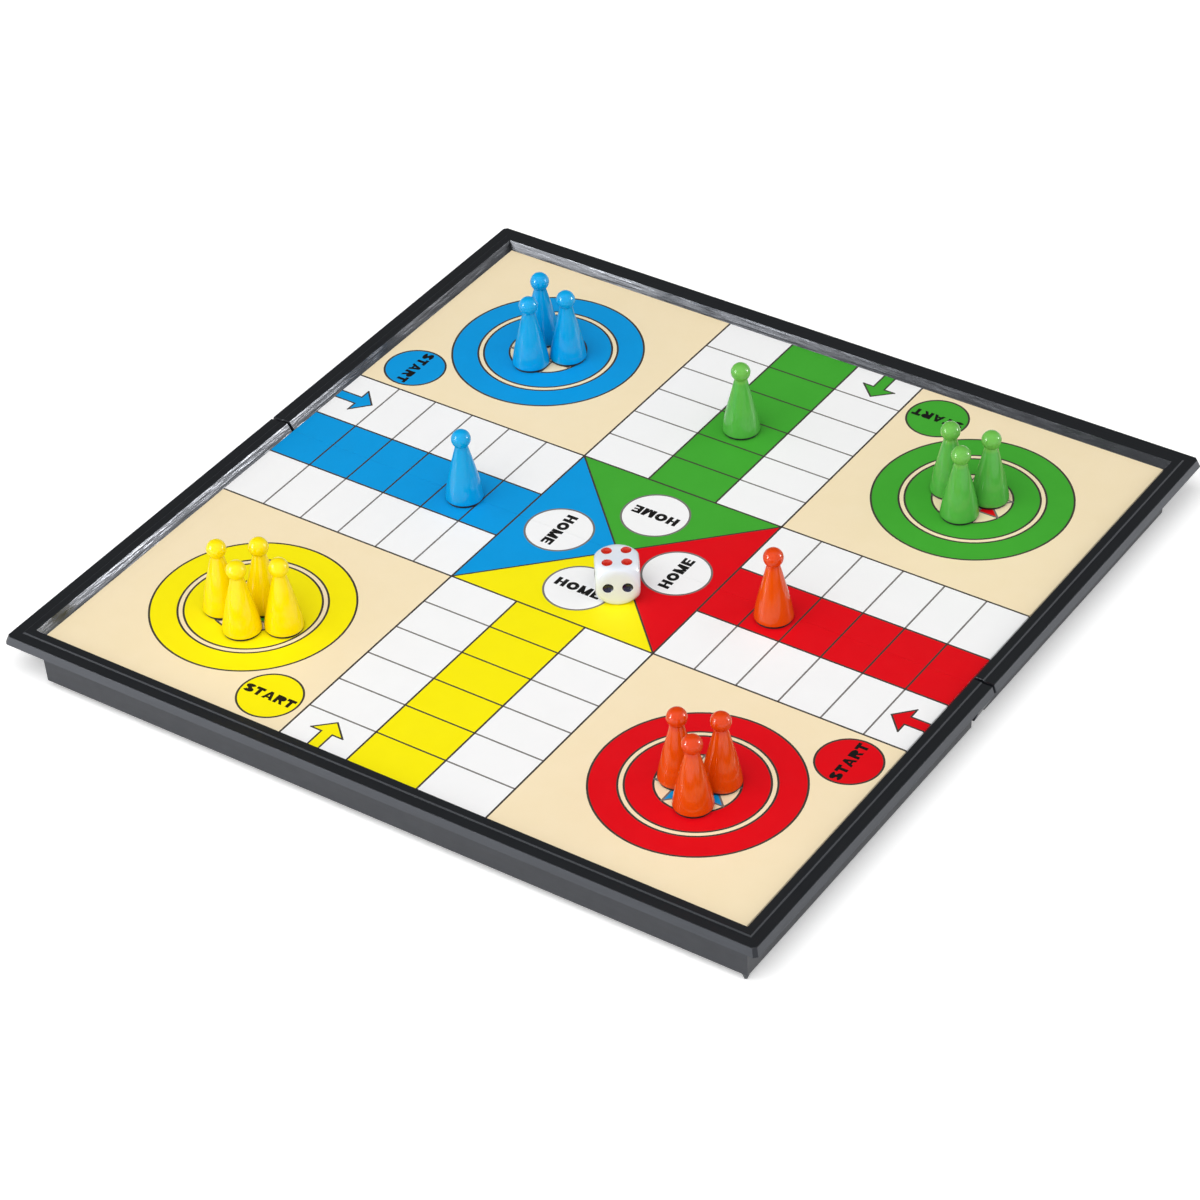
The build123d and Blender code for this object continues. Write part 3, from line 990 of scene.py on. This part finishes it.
def floor():
    """A plain white floor, a little brighter to the camera and in reflections."""
    made, tree, shader, place = new_material("studio_floor")
    seen = add(tree, "ShaderNodeLightPath").outputs
    shown = seen["Is Camera Ray"]
    for ray in ("Is Glossy Ray", "Is Transmission Ray"):
        either = {0: shown, 1: seen[ray]}
        shown = add(tree, "ShaderNodeMath", either, operation="MAXIMUM").outputs[0]
    lit = {0: shown, 1: FLOOR_GLOW}
    glow = add(tree, "ShaderNodeMath", lit, operation="MULTIPLY").outputs[0]
    tree.links.new(glow, shader.inputs["Emission Strength"])
    shader.inputs["Emission Color"].default_value = srgb("#FFFFFF")
    dress(
        shader,
        tree,
        mottled(tree, place, "#FFFFFF", "#FDFDFD", 400 * MM),
        varied(tree, place, 300 * MM, 0.85, 0.95),
    )
    half = 4.0
    sheet = as_object(
        "studio_floor",
        new_mesh(
            "studio_floor",
            [(-half, -half, 0), (half, -half, 0), (half, half, 0), (-half, half, 0)],
            [(0, 1, 2, 3)],
            made,
        ),
    )


def world():
    """A pale sky, dark in the one direction that the level print mirrors towards the camera."""
    sky = bpy.data.worlds.new("studio_sky")
    sky.use_nodes = True
    tree = sky.node_tree
    way = add(tree, "ShaderNodeTexCoord").outputs["Generated"]
    facing = add(tree, "ShaderNodeVectorMath", {0: way, 1: SKY_DIM_WAY}, operation="DOT_PRODUCT")
    start, full = SKY_DIM_SPAN
    level = {0: facing.outputs["Value"], 1: start, 2: full, 3: SKY_BRIGHT, 4: SKY_DIM}
    strength = add(tree, "ShaderNodeMapRange", level, interpolation_type="SMOOTHSTEP")
    tree.links.new(strength.outputs[0], tree.nodes["Background"].inputs["Strength"])
    tree.nodes["Background"].inputs["Color"].default_value = srgb("#FFFFFF")
    scene.world = sky


def softbox(name, place, width, height, radiance, on_matt, in_gloss):
    """A flat lamp that faces the board's middle. The cards and spots show in gloss alone, and the
    wide one overhead lights what is matt alone."""
    lamp = bpy.data.lights.new(name, "AREA")
    lamp.shape = "RECTANGLE"
    lamp.size = width
    lamp.size_y = height
    lamp.energy = radiance * pi * width * height
    stand = bpy.data.objects.new(name, lamp)
    place = Vector(place)
    turned = place.to_track_quat("Z", "Y").to_matrix().to_4x4()
    stand.matrix_world = Matrix.Translation(place) @ turned
    stand.visible_diffuse = on_matt
    stand.visible_glossy = in_gloss
    scene.collection.objects.link(stand)


SKY_DIM_WAY = (-0.453, 0.648, 0.612)
SKY_DIM_SPAN = (0.40, 0.88)  # cosines of the angles at which the dimming starts and is full
SKY_DIM = 0.12
SKY_BRIGHT = 0.88
FLOOR_GLOW = 0.28
# Name, place, width and height in metres, radiance, whether it lights matt surfaces, and whether
# it shows in gloss
LAMPS = (
    ("left_card", (-0.78, -0.80, 0.56), 0.50, 0.36, 8.0, False, True),
    ("right_card", (0.82, 0.57, 0.42), 0.50, 0.36, 3.0, False, True),
    ("left_spot", (-0.72, -0.98, 0.29), 0.21, 0.21, 48.0, False, True),
    ("right_spot", (1.03, 0.81, 0.24), 0.21, 0.21, 48.0, False, True),
    ("overhead", (-0.02, -0.55, 1.22), 1.3, 1.3, 1.8, True, False),
    ("front_strip", (-0.60, -1.17, 0.09), 1.2, 0.14, 4.0, True, True),
)


def camera():
    """The camera, with a long lens, looking down on the board across its near corner."""
    turn, tilt, roll = radians(34.94), radians(37.78), radians(-2.355)
    distance, aside, below = 1150.6 * MM, 4.43 * MM, 16.18 * MM
    back = Vector((sin(turn) * cos(tilt), -cos(turn) * cos(tilt), sin(tilt)))
    right = Vector((0, 0, 1)).cross(back).normalized()
    up = back.cross(right)
    right, up = cos(roll) * right + sin(roll) * up, cos(roll) * up - sin(roll) * right
    place = distance * back - aside * right - below * up + Vector((0, 0, frame_top))
    lens = bpy.data.cameras.new("camera")
    lens.sensor_width = 36.0
    lens.lens = 118.89
    lens.clip_end = 20.0
    eye = bpy.data.objects.new("camera", lens)
    eye.matrix_world = Matrix(
        (
            (right.x, up.x, back.x, place.x),
            (right.y, up.y, back.y, place.y),
            (right.z, up.z, back.z, place.z),
            (0, 0, 0, 1),
        )
    )
    scene.collection.objects.link(eye)
    scene.camera = eye


scene.view_settings.view_transform = "Standard"
camera()
printed_sheets()
pawns()
die()
box_finishes()
ejector_marks()
floor()
world()
for lamp in LAMPS:
    softbox(*lamp)
